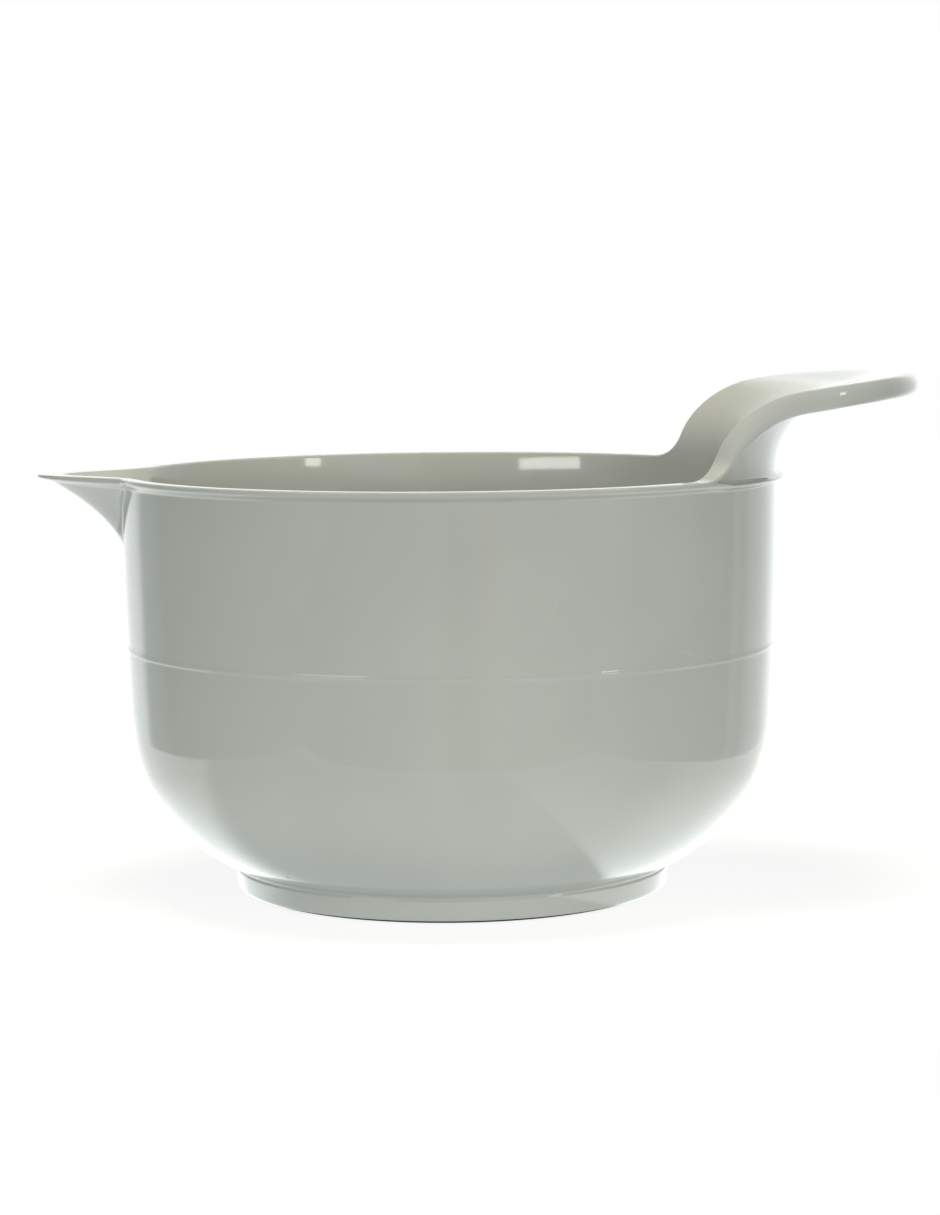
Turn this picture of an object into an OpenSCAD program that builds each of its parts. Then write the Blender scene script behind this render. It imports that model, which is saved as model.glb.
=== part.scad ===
// Batter bowl in millimetres: one moulded bowl with a pouring spout and a raised handle,
// standing on a soft ring that is pressed into a groove under its foot.
// The origin is on the bowl's axis at table height, Z points up and X points to the handle.

/* [Bowl] */
// Diameter across the rim lip
rim_d = 200; // [180:1:230]
// Height of the rim above the table
bowl_h = 126; // [110:1:150]
// Thickness of the moulded wall and floor
wall_t = 2.8; // [2.2:0.1:3.6]
// Lean of the wall, in degrees from upright
wall_draft = 1.7; // [0.5:0.1:3]
// Outside radius of the round lower corner
corner_r = 49; // [40:1:52]
// Height of the floor's underside above the table
floor_lift = 4; // [3.8:0.1:6]

/* [Rim] */
// How far the lip stands out from the wall
lip_reach = 2.4; // [1.8:0.1:3.5]
// Height of the lip's edge
lip_t = 2; // [1.6:0.1:3]
// Radius of the hollow under the lip
lip_hollow_r = 1.6; // [1:0.1:1.6]
// Rounding of the lip's edges
lip_round = 0.6; // [0.3:0.1:0.8]

/* [Mould line] */
// Height of the mould line above the table
mould_line_h = 75; // [60:1:90]
// Height of the mould line's ridge along the wall
mould_line_w = 1.2; // [0.6:0.1:2]
// How far the ridge stands out from the wall
mould_line_reach = 0.3; // [0.2:0.05:0.6]

/* [Foot] */
// Diameter at the top of the foot's face
foot_top_d = 130.6; // [110:0.2:140]
// How far the foot's face draws in towards the bottom
foot_taper = 2.7; // [0.5:0.1:4]
// Width of the foot across its lower face
foot_w = 9.1; // [8.5:0.1:16]
// Height of the foot's face
foot_face_h = 5.5; // [4:0.1:8]
// Width of the ledge on top of the foot
foot_ledge_w = 2.2; // [1:0.1:3]

/* [Non-slip ring] */
// Set-in of the ring from the outer edge of the foot's lower face
ring_inset = 1.4; // [1:0.1:2]
// Width of the ring
ring_w = 5; // [3:0.1:5.5]
// Height of the ring
ring_h = 3.4; // [2.6:0.1:3.8]
// How far the ring stands below the foot
ring_proud = 0.6; // [0.3:0.1:1]
// Bevel on the ring's lower edges
ring_bevel = 0.4; // [0.2:0.1:0.6]
// Gap between the ring and each side of its groove
ring_gap = 0.1; // [0.05:0.05:0.2]

/* [Spout] */
// How far the tip stands out past the rim lip
spout_reach = 23.3; // [15:0.5:30]
// How far down the wall the spout begins
spout_drop = 34; // [24:1:45]
// How far the spout's edge lies below the rim
spout_dip = 0.5; // [0.3:0.1:1.2]
// Radius of the rounded tip, seen from above
spout_nose_r = 10; // [6:0.5:12]
// Angle of each flank to the spout's own axis, in degrees
spout_flank_angle = 36; // [28:1:42]
// Steepness of the curve under the spout
spout_curl_power = 2.2; // [1.6:0.1:2.8]

/* [Handle] */
// How far the tip stands out past the rim lip
handle_reach = 40.5; // [30:0.5:50]
// Width of the handle
handle_w = 118; // [90:1:126]
// Height of the upright start above the rim
handle_upright_h = 1.5; // [1:0.1:8]
// Inside radius of the bend
handle_bend_r = 24; // [18:1:28]
// Upward slope of the tongue, in degrees
handle_slope = 10.8; // [4:0.2:16]
// Thickness of the handle's sheet
handle_t = 2.6; // [2:0.1:3.4]
// How far the turned-down edge stands below the sheet
handle_edge_drop = 3; // [1.5:0.1:4]
// Height of the crown along the middle of the handle
handle_crown = 3; // [1:0.1:4]
// Radius where the handle's edge runs into the rim
handle_root_r = 7; // [4:0.5:9]

/* [Hidden] */
$fn = 96;

// Number of steps in each kind of curve
arc_steps = 16;
hollow_steps = 5;
nose_steps = 10;
spout_steps = 14;
root_steps = 3;
bend_steps = 11;
tongue_steps = 12;
across_steps = 20;

// Share of the way round the tongue's end that the last row reaches, and where the crown starts
tongue_end_share = 0.88;
crown_start_share = 0.19;
// Share of the spout's drop that is lofted, which ends inside the wall
spout_depth_share = 0.86;
// Powers that shape the crown and the turned-down edge
crown_power = 3;
crown_fade_power = 8;
edge_power = 10;
tip_power = 30;
// Set-in of the handle's inner side from the wall's, which seats its root inside the rim
handle_inset = 0.3;

rim_r = rim_d / 2;
wall_top_r = rim_r - lip_reach;
wall_top_h = bowl_h - lip_t - lip_hollow_r;
corner_h = floor_lift + corner_r;
corner_end_h = corner_h - corner_r * sin(wall_draft);
corner_x = wall_r(corner_end_h) - corner_r * cos(wall_draft);
wall_depth = wall_t / cos(wall_draft);
rim_in_r = wall_r(bowl_h) - wall_depth;

foot_top_r = foot_top_d / 2;
foot_neck_r = foot_top_r - foot_ledge_w;
foot_bottom_r = foot_top_r - foot_taper;
foot_in_r = foot_bottom_r - foot_w;
foot_top_h = ring_proud + foot_face_h;
ring_out_r = foot_bottom_r - ring_inset;
ring_in_r = ring_out_r - ring_w;

spout_root_r = wall_top_r - wall_t / 2;
spout_length = rim_r + spout_reach - spout_root_r;

handle_in_r = rim_in_r + handle_inset;
handle_half_w = handle_w / 2;
bend_end_angle = 90 - handle_slope;
bend_end_r = handle_in_r + handle_bend_r * (1 - cos(bend_end_angle));
bend_end_h = bowl_h + handle_upright_h + handle_bend_r * sin(bend_end_angle);
tongue_x = sqrt(pow(bend_end_r, 2) - pow(handle_half_w, 2));
tongue_length = rim_r + handle_reach - tongue_x;

// Outside radius of the wall at height h
function wall_r(h) = wall_top_r - (wall_top_h - h) * tan(wall_draft);

// Points of an arc about a centre c, with angles in degrees
function arc(c, r, a0, a1, steps) =
    [for (i = [0 : steps]) c + r * [cos(a0 + (a1 - a0) * i / steps), sin(a0 + (a1 - a0) * i / steps)]];

// Height of the floor's surface at radius r, a distance inset inside the underside
function floor_h(r, inset) =
    r <= corner_x ? floor_lift + inset : corner_h - sqrt(pow(corner_r - inset, 2) - pow(r - corner_x, 2));

// Smooth step from 0 to 1
function ease(x) = let (k = max(0, min(1, x))) k * k * (3 - 2 * k);

// Half section of the wall, floor and rim lip
module shell_section() {
    hollow_c = [wall_r(wall_top_h) + lip_hollow_r, wall_top_h];
    top_r = rim_r - lip_round;
    underside = arc([corner_x, corner_h], corner_r, -90, -wall_draft, arc_steps);
    mould_line = [
        [wall_r(mould_line_h - mould_line_w / 2), mould_line_h - mould_line_w / 2],
        [wall_r(mould_line_h) + mould_line_reach, mould_line_h],
        [wall_r(mould_line_h + mould_line_w / 2), mould_line_h + mould_line_w / 2]
    ];
    hollow = arc(hollow_c, lip_hollow_r, 180, 90, hollow_steps);
    lip = [
        [rim_r, bowl_h - lip_t],
        [rim_r, bowl_h - lip_round],
        [top_r, bowl_h],
        [rim_in_r + lip_round, bowl_h],
        [rim_in_r, bowl_h - lip_round]
    ];
    inside = arc([corner_x, corner_h], corner_r - wall_t, -wall_draft, -90, arc_steps);
    ends = [[0, floor_lift + wall_t], [0, floor_lift]];
    polygon(concat(underside, mould_line, hollow, lip, inside, ends));
}

// Half section of the foot, up into the floor
module foot_section() {
    polygon([
        [foot_in_r, ring_proud],
        [foot_bottom_r, ring_proud],
        [foot_top_r, foot_top_h],
        [foot_neck_r, foot_top_h],
        [foot_neck_r, floor_h(foot_neck_r, wall_t / 2)],
        [foot_in_r, floor_h(foot_in_r, wall_t / 2)]
    ]);
}

// Half section of the groove for the ring
module groove_section() {
    translate([ring_in_r - ring_gap, 0]) square([ring_w + 2 * ring_gap, ring_h]);
}

// A solid through a row of closed rings, each with as many points going out as coming back
module loft(rings) {
    n = len(rings[0]);
    last = n * (len(rings) - 1);
    function corner(i, j) = i * n + j % n;
    sides = [
        for (i = [0 : len(rings) - 2]) for (j = [0 : n - 1])
            each [
                [corner(i, j), corner(i + 1, j), corner(i + 1, j + 1)],
                [corner(i, j), corner(i + 1, j + 1), corner(i, j + 1)]
            ]
    ];
    caps = [
        for (j = [0 : n / 2 - 2])
            each [
                [j, j + 1, n - 2 - j],
                [j, n - 2 - j, n - 1 - j],
                [last + j, last + n - 2 - j, last + j + 1],
                [last + j, last + n - 1 - j, last + n - 2 - j]
            ]
    ];
    polyhedron(points = [for (ring = rings) each ring], faces = concat(sides, caps));
}

// Outline of the spout seen from above: a wedge with a rounded nose, from its root to its tip
function wedge(root, tip, nose, h) =
    let (
        turn = 90 - spout_flank_angle,
        heel = tip - nose * (1 - sin(spout_flank_angle)),
        half = nose * cos(spout_flank_angle) + (heel - root) * tan(spout_flank_angle),
        round_end = arc([tip - nose, 0], nose, -turn, turn, nose_steps - 1)
    )
    [for (p = concat([[root, -half]], round_end, [[root, half]])) [p[0], p[1], h]];

// How much of the spout's length is left at a share t of its drop, and how fast that falls
function spout_left(t) = pow(1 - t, spout_curl_power);
function spout_fall(t) = spout_curl_power * pow(1 - t, spout_curl_power - 1);

// Outside of the spout, down to where it runs into the wall
module spout_outside() {
    loft([
        for (i = [spout_steps : -1 : 0])
            let (
                t = spout_depth_share * i / spout_steps,
                left = spout_left(t)
            )
            wedge(spout_root_r, spout_root_r + spout_length * left, spout_nose_r * left,
                bowl_h - spout_dip - spout_drop * t)
    ]);
}

// Channel of the spout: the outside's curve set in by the wall's thickness
module spout_channel() {
    channel_root = rim_in_r - spout_length / 2;
    channel_nose_r = spout_nose_r - wall_t;
    loft([
        for (i = [spout_steps : -1 : 0])
            let (
                t = spout_depth_share * i / spout_steps,
                run = spout_length * spout_fall(t),
                slant = sqrt(run * run + spout_drop * spout_drop),
                tip = spout_root_r + spout_length * spout_left(t) - wall_t * spout_drop / slant,
                h = bowl_h - spout_dip - spout_drop * t + wall_t * run / slant,
                nose_share = (tip - channel_root) / (spout_root_r + spout_length - channel_root)
            )
            wedge(channel_root, tip, channel_nose_r * nose_share, h)
    ]);
}

// One row of the handle: the sheet's lower side out, and its upper side back.
// r and h place the row, a is the sheet's turn from upright, drop is the edge's depth along the row.
function handle_row(r, h, a, half_w, crown, drop, tip_share) =
    let (
        side = asin(half_w / r),
        places = [for (j = [0 : across_steps]) 2 * j / across_steps - 1],
        lower = [
            for (q = places)
                let (edge_share = 1 - (1 - pow(abs(q), edge_power)) * (1 - tip_share))
                sheet_point(r, h, a, side * q, crown_lift(crown, q) - handle_t - drop * edge_share)
        ],
        upper = [for (q = places) sheet_point(r, h, a, -side * q, crown_lift(crown, q))]
    )
    concat(lower, upper);

// Height of the crown at a place q across the row, from -1 to 1
function crown_lift(crown, q) = crown * (1 - pow(abs(q), crown_power));

// A point of the sheet, lifted along its normal
function sheet_point(r, h, a, side, lift) =
    let (out = r - lift * cos(a))
    [out * cos(side), out * sin(side), h + lift * sin(a)];

// Rows of the handle from inside the rim to the tip
function root_rows() = [
    for (i = [0 : root_steps])
        let (
            h = (handle_upright_h + lip_t / 2) * i / (root_steps + 1) - lip_t / 2,
            spread = root_spread(h)
        )
        handle_row(handle_in_r, bowl_h + h, 0, handle_half_w + spread, 0, 0, 0)
];
function bend_rows() = [
    for (i = [0 : bend_steps])
        let (
            a = bend_end_angle * i / bend_steps,
            h = handle_upright_h + handle_bend_r * sin(a),
            share = ease((i / bend_steps - crown_start_share) / (1 - crown_start_share))
        )
        handle_row(handle_in_r + handle_bend_r * (1 - cos(a)), bowl_h + h, a,
            handle_half_w + root_spread(h), handle_crown * share, handle_edge_drop * ease(i / root_steps), 0)
];
function tongue_rows() = [
    for (i = [1 : tongue_steps])
        let (
            turn = 90 * tongue_end_share * i / tongue_steps,
            x = tongue_x + tongue_length * sin(turn),
            half_w = handle_half_w * cos(turn),
            r = sqrt(x * x + half_w * half_w),
            h = bend_end_h + (r - bend_end_r) * tan(handle_slope),
            tip_share = pow(sin(turn) / sin(90 * tongue_end_share), tip_power)
        )
        handle_row(r, h, bend_end_angle, half_w, handle_crown * pow(cos(turn), crown_fade_power),
            handle_edge_drop, tip_share)
];

// Extra half width where the handle's edge curves into the rim
function root_spread(h) =
    let (k = max(0, min(handle_root_r, handle_root_r - h)))
    handle_root_r - sqrt(handle_root_r * handle_root_r - k * k);

module handle() {
    loft(concat(root_rows(), bend_rows(), tongue_rows()));
}

module bowl() {
    color("#A9AEA6") difference() {
        union() {
            rotate([0, 0, 90]) rotate_extrude() difference() {
                union() {
                    shell_section();
                    foot_section();
                }
                groove_section();
            }
            rotate([0, 0, 180]) spout_outside();
            handle();
        }
        rotate([0, 0, 180]) spout_channel();
    }
}

module non_slip_ring() {
    color("#3A3B3A") rotate_extrude() polygon([
        [ring_in_r + ring_bevel, 0],
        [ring_out_r - ring_bevel, 0],
        [ring_out_r, ring_bevel],
        [ring_out_r, ring_h],
        [ring_in_r, ring_h],
        [ring_in_r, ring_bevel]
    ]);
}

bowl();
non_slip_ring();
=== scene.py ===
# %% [markdown]
# # A batter bowl as one moulded skin
#
# The real bowl comes out of its mould in one piece: floor, wall, foot, rim lip, pouring spout and handle
# are a single skin of glossy melamine, about 3 mm thick. Only the soft ring under the foot is fitted
# later. So the lesson builds one closed surface for the whole bowl, and a second, small one for the ring.
#
# The measured solids are loaded first. They set the frame: metres, Z up, the origin on the bowl's axis at
# table height, and X pointing to the handle. Nothing below moves or resizes them.

# %% Load the measured frame
import math

import bpy
import numpy as np
from mathutils import Matrix, Vector


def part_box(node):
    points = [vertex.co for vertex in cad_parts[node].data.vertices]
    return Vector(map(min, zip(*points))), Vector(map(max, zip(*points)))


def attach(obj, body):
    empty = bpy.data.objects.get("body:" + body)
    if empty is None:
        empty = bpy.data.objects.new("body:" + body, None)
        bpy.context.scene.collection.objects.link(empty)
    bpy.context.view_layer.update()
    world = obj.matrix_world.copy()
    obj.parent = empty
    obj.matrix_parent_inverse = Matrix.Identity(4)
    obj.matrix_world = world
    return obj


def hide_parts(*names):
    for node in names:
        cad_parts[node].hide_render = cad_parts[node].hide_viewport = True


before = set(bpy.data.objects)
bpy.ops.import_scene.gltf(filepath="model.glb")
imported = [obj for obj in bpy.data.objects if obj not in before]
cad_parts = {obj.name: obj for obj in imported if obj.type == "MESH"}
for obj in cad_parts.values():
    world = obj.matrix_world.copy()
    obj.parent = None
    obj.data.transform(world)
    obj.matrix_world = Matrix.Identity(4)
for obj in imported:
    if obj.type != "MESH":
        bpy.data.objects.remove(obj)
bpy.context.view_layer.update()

# %% [markdown]
# ## Sizes
#
# Shapes are worked out in millimetres, because the sizes of a kitchen bowl are easy to read that way, and
# turned into metres when a mesh is made. The outer reach of the bowl is read from the frame. The finer
# sizes, such as the lip and the roundings, are named here once.

# %% Sizes read from the frame and sizes of the wall
MM = 0.001
bowl_low, bowl_high = (np.array(corner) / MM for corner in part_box("bowl"))
ring_high = np.array(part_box("non_slip_ring")[1]) / MM

rim_r = bowl_high[1]
rim_h = 126.0
wall_t = 2.8
lip_reach = 2.3
wall_top_r = rim_r - lip_reach
inner_top_r = wall_top_r - wall_t

wall_depth = 75.0
wall_draw_in = 2.1
wall_power = 1.8
corner_r = 49.0
print("rim radius", round(rim_r, 2), "wall radius below the lip", round(wall_top_r, 2))

# %% [markdown]
# ## The wall
#
# A melamine wall leans in a little towards the floor, so that the bowl lets go of its mould. On this bowl
# the lean grows with depth: the wall is upright at the rim and about 3 degrees off at the round corner. A
# power of the depth gives that with two numbers, and it meets the corner's arc without a kink.

# %% The wall's radius and the round corner below it
def wall_r(depth):
    """Outside radius at a depth below the rim: top radius - draw-in (depth / wall depth)^power."""
    return wall_top_r - wall_draw_in * (np.maximum(depth, 0) / wall_depth) ** wall_power


wall_end_lean = math.atan(wall_draw_in * wall_power / wall_depth)
corner_x = wall_r(wall_depth) - corner_r * math.cos(wall_end_lean)
corner_z = rim_h - wall_depth + corner_r * math.sin(wall_end_lean)
floor_under_h = corner_z - corner_r
print("corner centre", round(float(corner_x), 2), round(corner_z, 2))
print("floor underside", round(floor_under_h, 2))

# %% [markdown]
# ## The spout
#
# Seen from above, the spout is a wedge with a small round nose, set against the round wall. In polar form
# each flank is a straight line: radius times sin(angle + flank angle) is constant. Taking the larger of
# that line and the wall's circle, with a little rounding, gives the tight crease that runs down beside a
# real spout. Going down, the tip draws back along a power curve, until the wedge has sunk into the wall.

# %% Outline of the wall and spout seen from above
spout_tip_r = -bowl_low[0]
spout_flank = math.radians(37.5)
spout_nose = math.radians(3.0)
spout_overhang = 0.6
spout_drop = 34.0
spout_curl = 2.4
spout_sink = 2.1
lip_crease_w = 1.0
wall_crease_w = 1.2
inner_crease_w = 7.0
flare_reach = 0.95
flare_depth = 12.0
flare_start = math.radians(46.0)
flare_full = math.radians(62.0)
nose_sine = math.sin(spout_flank + spout_nose)
spout_reach = spout_tip_r - spout_overhang - wall_top_r


def ease(x):
    """Smooth step from 0 to 1: 3 x^2 - 2 x^3 on the clipped value."""
    x = np.clip(x, 0, 1)
    return x * x * (3 - 2 * x)


def smooth_max(a, b, width):
    """The larger of a and b, its crease rounded over a width: max + (width - |a - b|)^2 / (4 width)."""
    near = np.maximum(width - np.abs(a - b), 0)
    return np.maximum(a, b) + near**2 / (4 * width)


def outline_r(angle, round_r, flank_distance, crease_w):
    """Radius of a circle with a wedge on it: the smooth maximum of the circle's radius and of a flank line.

    The flank line is flank distance / sin(side angle + flank angle), and the side angle is softened
    at the nose.
    """
    side_angle = np.hypot(np.pi - np.abs(angle), spout_nose)
    flank_r = flank_distance / np.sin(np.minimum(side_angle + spout_flank, np.pi / 2))
    return smooth_max(round_r, flank_r, crease_w)


def spout_left(depth):
    """Share of the spout's reach that is left at a depth: (1 - depth / drop)."""
    return np.clip(1 - depth / spout_drop, 0, None)


def tip_r(depth):
    """Radius of the spout's tip at a depth: the wall's radius + (reach + sink) left^curl - sink."""
    return wall_r(depth) + (spout_reach + spout_sink) * spout_left(depth) ** spout_curl - spout_sink


def outer_r(angle, depth):
    """Outside radius of wall and spout."""
    return outline_r(angle, wall_r(depth), tip_r(depth) * nose_sine, wall_crease_w)


def inner_r(angle, depth):
    """Inside radius of wall and spout: the flank moves in by the wall's thickness, square to its slope.

    The slope is the tip's fall, (reach + sink) curl left^(curl - 1) / drop, seen square to the flank.
    Under the rim the inside opens by flare reach (1 - depth / flare depth)^2, except at the handle.
    """
    fall = (spout_reach + spout_sink) * spout_curl / spout_drop * spout_left(depth) ** (spout_curl - 1)
    set_in = wall_t * np.hypot(1, fall * nose_sine)
    flare = flare_reach * np.clip(1 - depth / flare_depth, 0, 1) ** 2
    flare = flare * ease((np.abs(angle) - flare_start) / (flare_full - flare_start))
    return outline_r(angle, wall_r(depth) - wall_t + flare, tip_r(depth) * nose_sine - set_in, inner_crease_w)


def lip_r(angle):
    """Radius of the lip's edge: the rim's circle and a wedge out to the spout's tip."""
    return outline_r(angle, rim_r, spout_tip_r * nose_sine, lip_crease_w)


print("spout tip", round(spout_tip_r, 2), "inside of the tip", round(float(inner_r(np.pi, 0.0)), 2))

# %% [markdown]
# ## The handle
#
# The handle is the wall itself, carried on upward: from the rim on it bends outward through an arc, and
# it runs on as a flat tongue that slopes up to its tip. As a surface of revolution this is a meridian, an
# arc and a line, turned about the bowl's axis. The tongue has a slight crown: past the bend the skin is
# lifted square to itself along the middle, and the lift fades towards the edges and towards the tip.

# %% Meridian, outline and crown of the handle
handle_tip_x = rim_r + 39.8
handle_half_w = 60.2
bend_r = 25.2
bend_turn = math.radians(80.4)
root_r = 7.4
crown_h = 2.2
crown_ease = 14.0

bend_end_climb = bend_r * bend_turn
bend_end_r = inner_top_r + bend_r * (1 - math.cos(bend_turn))
tongue_x = math.sqrt(bend_end_r**2 - handle_half_w**2)
tongue_reach = handle_tip_x - tongue_x


def meridian(climb):
    """Radius, height and turn from upright of the handle's inner face, at a climb measured along it."""
    turn = np.clip(climb / bend_r, 0, bend_turn)
    straight = np.maximum(climb - bend_end_climb, 0)
    radius = inner_top_r + bend_r * (1 - np.cos(turn)) + straight * math.sin(bend_turn)
    height = rim_h + np.minimum(climb, 0) + bend_r * np.sin(turn) + straight * math.cos(bend_turn)
    return radius, height, turn


def tongue_sine(radius):
    """How far round the tongue's end a radius lies, as a sine s from 0 to 1.

    The end is half an ellipse, x = tongue_x + reach s and y = half width sqrt(1 - s^2),
    so s solves a quadratic.
    """
    a = tongue_reach**2 - handle_half_w**2
    b = tongue_x * tongue_reach
    c = bend_end_r**2 - radius**2
    return np.clip((np.sqrt(np.maximum(b * b - a * c, 0)) - b) / a, 0, 1)


def crown_lift(angle, climb):
    """Lift of the tongue: crown height (1 - q^2), eased in past the bend and out towards the tip.

    q goes from 0 in the middle to 1 at the edge.
    """
    radius, _, _ = meridian(climb)
    cosine = np.sqrt(1 - tongue_sine(radius) ** 2)
    half_angle = np.arcsin(np.clip(handle_half_w * cosine / radius, 1e-6, 1))
    across = np.clip(np.abs(angle) / half_angle, 0, 1)
    return crown_h * (1 - across**2) * ease((climb - bend_end_climb) / crown_ease) * cosine**2


print("bend ends at climb", round(bend_end_climb, 1), "tongue reach", round(float(tongue_reach), 1))

# %% [markdown]
# ## Three faces of the skin
#
# Every point of the bowl above the round corner is named by two numbers: its angle about the axis, and
# its climb from the rim, negative on the wall and positive on the handle. Three functions turn these into
# points: the inner face, the outer face, and the lip face, which stands out past the outer face along
# every edge.

# %% Inner, outer and lip face
def around(angle, radius, height):
    """Points at a radius and height, turned by an angle about the axis."""
    return np.stack(np.broadcast_arrays(radius * np.cos(angle), radius * np.sin(angle), height), axis=-1)


def face_point(angle, climb, wall_radius, level):
    """A wall radius below the rim; above it, the meridian moved out by a level square to the skin."""
    radius, height, turn = meridian(climb)
    out = level - crown_lift(angle, climb)
    above = climb > 0
    return around(
        angle,
        np.where(above, radius + out * np.cos(turn), wall_radius),
        np.where(above, height - out * np.sin(turn), height),
    )


def inner_face(angle, climb):
    """The face that holds the batter, and the upper face of the handle."""
    return face_point(angle, climb, inner_r(angle, -climb), 0.0)


def outer_face(angle, climb):
    """The outside of the wall, and the underside of the handle."""
    return face_point(angle, climb, outer_r(angle, -climb), wall_t)


def lip_face(angle, climb, edge_t):
    """The lip's upright edge on the rim, and the edge of the handle at its full thickness."""
    return face_point(angle, climb, lip_r(angle), edge_t)


# %% [markdown]
# ## The edge path
#
# One edge runs all the way round: along the rim, out to the spout's tip, up the side of the handle, round
# its tip and down again. The bowl is the same on both sides, so half of that path is enough. It is laid
# out from the handle's tip to the spout's tip in four stretches, each with its own spacing: finer where
# the edge turns.

# %% Half of the edge path, from the tip of the handle to the tip of the spout
tongue_columns = 40
side_columns = 18
root_columns = 8
rim_columns = 56
spout_columns = 36
spout_zone = math.radians(20.0)
spout_dip = 0.05

tongue_turn = np.linspace(np.pi / 2, 0, tongue_columns, endpoint=False)
tongue_edge_x = tongue_x + tongue_reach * np.sin(tongue_turn)
tongue_edge_y = handle_half_w * np.cos(tongue_turn)
tongue_climb = bend_end_climb + (np.hypot(tongue_edge_x, tongue_edge_y) - bend_end_r) / math.sin(bend_turn)

side_climb = np.linspace(bend_end_climb, root_r, side_columns, endpoint=False)
root_turn = np.linspace(0, np.pi / 2, root_columns, endpoint=False)
root_climb = root_r * (1 - np.sin(root_turn))
root_half_w = handle_half_w + root_r * (1 - np.cos(root_turn))
root_angle = math.asin((handle_half_w + root_r) / inner_top_r)

rim_angle = np.concatenate([
    np.linspace(root_angle, np.pi - spout_zone, rim_columns, endpoint=False),
    np.linspace(np.pi - spout_zone, np.pi, spout_columns),
])
spout_share = np.clip((lip_r(rim_angle) - rim_r) / (spout_tip_r - rim_r), 0, 1)

edge_angle = np.concatenate([
    np.arctan2(tongue_edge_y, tongue_edge_x),
    np.arcsin(handle_half_w / meridian(side_climb)[0]),
    np.arcsin(root_half_w / meridian(root_climb)[0]),
    rim_angle,
])
edge_climb = np.concatenate([tongue_climb, side_climb, root_climb, -spout_dip * spout_share])
edge_spout = np.concatenate([np.zeros(len(edge_angle) - len(rim_angle)), spout_share])
edge_x = meridian(edge_climb)[0] * np.cos(edge_angle)
print("columns in half of the path:", len(edge_angle))

# %% [markdown]
# ## The edge section
#
# A section is now carried along that path. From the inner face it turns over a small round corner,
# crosses the edge, turns again, runs back along the lip and falls in a soft S onto the outer face. On the
# rim it is a flat lip that overhangs by a little over 2 mm. On the handle it is a turned-down edge with a
# crisp upper line and a soft lower one, which becomes a full round at the tip. Near the spout's tip it
# thins to a pouring edge.

# %% Sizes of the section along the path
def mixed(rim, handle, tip, spout):
    """A size along the path: the rim's value, moved to the other three by their shares."""
    along = rim + (handle - rim) * handle_share
    along = along + (tip - along) * tip_share
    return along + (spout - along) * edge_spout**2


thicken_climb = 16.0
tip_from_x = 126.0
tip_blend_x = 14.0
rim_edge_t = rim_r - inner_top_r
handle_share = ease(edge_climb / thicken_climb)
tip_share = ease((edge_x - tip_from_x) / tip_blend_x)
inner_round = mixed(rim=0.55, handle=0.6, tip=2.4, spout=0.35)
outer_round = mixed(rim=0.5, handle=2.3, tip=3.4, spout=0.3)
edge_height = mixed(rim=rim_edge_t, handle=6.4, tip=7.0, spout=rim_edge_t)
fall_start = mixed(rim=0.9, handle=2.6, tip=3.9, spout=0.5)
fall_end = mixed(rim=3.6, handle=6.2, tip=7.4, spout=2.0)
edge_bulge = mixed(rim=0.0, handle=0.2, tip=0.1, spout=0.0)
band_depth = 10.0

# %% The way in from the edge, square to it
edge_r = meridian(edge_climb)[0]
run_angle = np.gradient(edge_angle) * edge_r
run_climb = np.gradient(edge_climb)
run_length = np.hypot(run_angle, run_climb)
way_angle = run_climb / run_length
way_climb = -run_angle / run_length
way_angle[[0, -1]] = 0.0
way_climb[[0, -1]] = -1.0


def step_in(depth):
    """Angle and climb at a depth in from the edge, along the skin and square to the edge."""
    return edge_angle + depth * way_angle / edge_r, edge_climb + depth * way_climb


edge_inner = inner_face(*step_in(0.0))
edge_outer = lip_face(*step_in(0.0), edge_height)
edge_width = np.linalg.norm(edge_outer - edge_inner, axis=-1)
print("edge width from", round(float(edge_width.min()), 2), "to", round(float(edge_width.max()), 2), "mm")

# %% Rows of the section, from the inner face over the edge to the outer face
def quarter(steps):
    """Angles of a quarter turn, as a column for broadcasting against the path."""
    return np.linspace(0, np.pi / 2, steps)[:, None]


def shares(*values):
    """Shares of a stretch, as a column for broadcasting against the path."""
    return np.array(values)[:, None]


def to_lip(face, depth, share):
    """Rows between a face and the lip face: share 0 on the face, 1 on the lip face."""
    angle, climb = step_in(depth)
    start = face(angle, climb)
    return start + share[..., None] * (lip_face(angle, climb, edge_height) - start)


inner_share = inner_round / edge_width
outer_share = outer_round / edge_width
turn_in = quarter(6)
turn_out = quarter(8)
flat_share = shares(0.06, 0.2, 0.4, 0.6, 0.8, 0.94)
fall_share = shares(*np.linspace(0, 1, 13))

inner_depth = inner_round + (band_depth - inner_round) * shares(0.72, 0.48, 0.28, 0.14, 0.05)
lip_depth = outer_round + (fall_start - outer_round) * shares(0.35, 0.7)
fall_depth = fall_start + (fall_end - fall_start) * fall_share
outer_depth = fall_end + (band_depth - fall_end) * shares(0.1, 0.3, 0.55, 0.8)

bulge_depth = -4 * edge_bulge * flat_share * (1 - flat_share)
bulge_share = inner_share + (1 - inner_share - outer_share) * flat_share

edge_rows = np.concatenate([
    to_lip(inner_face, inner_depth, 0 * inner_depth),
    to_lip(inner_face, inner_round * (1 - np.sin(turn_in)), inner_share * (1 - np.cos(turn_in))),
    to_lip(inner_face, bulge_depth, bulge_share),
    to_lip(inner_face, outer_round * (1 - np.cos(turn_out)), 1 - outer_share * (1 - np.sin(turn_out))),
    to_lip(outer_face, lip_depth, 0 * lip_depth + 1),
    to_lip(outer_face, fall_depth, 1 - ease(fall_share) + 0 * fall_depth),
    to_lip(outer_face, outer_depth, 0 * outer_depth),
])
print("rows over the edge:", len(edge_rows))

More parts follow.
